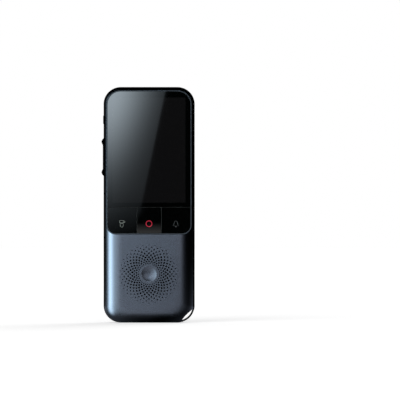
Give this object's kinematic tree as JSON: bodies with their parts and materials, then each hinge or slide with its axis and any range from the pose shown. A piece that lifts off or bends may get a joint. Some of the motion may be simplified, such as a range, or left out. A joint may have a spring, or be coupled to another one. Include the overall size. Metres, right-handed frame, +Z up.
{
  "type": "handheld translator",
  "caption": "Slim bar-shaped handheld voice translator with a glass front, press keys, a pierced speaker rosette, side keys, a strap eye and a rear camera window.",
  "frame": {"origin": "middle of the flat lower end, on the plane where the two shells meet", "axes": "+Z up along the device towards the display, +Y towards the back with the camera, +X to the right seen from the front"},
  "size_m": [0.0543, 0.0153, 0.137],
  "materials": {
    "shell_paint": "metallic blue-grey paint on moulded plastic",
    "black_glass": "black-backed cover glass, polished",
    "black_moulding": "fine matt",
    "gloss_black": "high gloss",
    "polished_trim": "smoked, polished",
    "red_light_guide": "frosted, lit from behind",
    "silicone": "matt",
    "foam": "matt foam tape",
    "green_board": "solder mask",
    "black_board": "solder mask",
    "polyimide": "amber film",
    "tinned_steel": "tinned",
    "stainless": "satin",
    "display_face": "polariser film over the display",
    "white_moulding": "white",
    "battery_wrap": "silver laminate pouch",
    "magnet": "nickel plated",
    "cone_film": "moulded film",
    "dust_mesh": "fine woven mesh",
    "lens_glass": "coated lens",
    "diffuser": "warm white diffuser",
    "phosphor": "yellow",
    "red_wire": "insulated",
    "black_wire": "insulated"
  },
  "bodies": {
    "housing": {"front_cover": "shell_paint", "rear_cover": "shell_paint", "cover_glass": "black_glass", "camera_window": "black_glass", "panel_frame": "black_moulding", "strap_bar": "black_moulding", "speaker_basket": "black_moulding", "usb_tongue": "black_moulding", "camera_module": "black_moulding", "volume_up_switch": "black_moulding", "volume_down_switch": "black_moulding", "power_switch": "black_moulding", "panel_trim": "polished_trim", "key_mat": "silicone", "glass_gasket": "foam", "speaker_gasket": "foam", "battery_pad": "foam", "main_board": "green_board", "key_board": "black_board", "battery_board": "black_board", "display_flex": "polyimide", "antenna": "polyimide", "processor_shield": "tinned_steel", "wireless_shield": "tinned_steel", "lower_microphone": "tinned_steel", "upper_microphone": "tinned_steel", "board_screw_1": "stainless", "board_screw_2": "stainless", "board_screw_3": "stainless", "board_screw_4": "stainless", "usb_shell": "stainless", "speaker_contact_1": "stainless", "speaker_contact_2": "stainless", "key_dome_left": "stainless", "key_dome_centre": "stainless", "key_dome_right": "stainless", "camera_ring": "stainless", "window_trim": "stainless", "display_panel": "display_face", "backlight": "white_moulding", "display_connector": "white_moulding", "key_connector": "white_moulding", "battery_plug": "white_moulding", "battery": "battery_wrap", "speaker_magnet": "magnet", "speaker_cone": "cone_film", "speaker_mesh": "dust_mesh", "camera_lens": "lens_glass", "flash_lens": "diffuser", "flash_led": "phosphor", "battery_wire_red": "red_wire", "battery_wire_black": "black_wire"},
    "left_key": {"key_left": "gloss_black"},
    "centre_key": {"key_centre": "gloss_black", "record_ring": "red_light_guide"},
    "right_key": {"key_right": "gloss_black"},
    "volume_keys": {"volume_rocker": "gloss_black"},
    "power_button": {"power_key": "gloss_black"}
  },
  "joints": [
    {"name": "left_key_press", "type": "slide", "parent": "housing", "child": "left_key", "axis": [0, 1, 0], "range_m": [0, 0.0003], "stiffness_N_per_m": 400},
    {"name": "centre_key_press", "type": "slide", "parent": "housing", "child": "centre_key", "axis": [0, 1, 0], "range_m": [0, 0.0003], "stiffness_N_per_m": 400},
    {"name": "right_key_press", "type": "slide", "parent": "housing", "child": "right_key", "axis": [0, 1, 0], "range_m": [0, 0.0003], "stiffness_N_per_m": 400},
    {"name": "power_key_press", "type": "slide", "parent": "housing", "child": "power_button", "axis": [1, 0, 0], "range_m": [0, 0.0003], "stiffness_N_per_m": 400},
    {"name": "volume_rock", "type": "hinge", "parent": "housing", "child": "volume_keys", "pos_m": [-0.02425, 0, 0.0963], "axis": [0, 1, 0], "range_deg": [-1.2, 1.2], "stiffness_Nm_per_rad": 0.02}
  ]
}
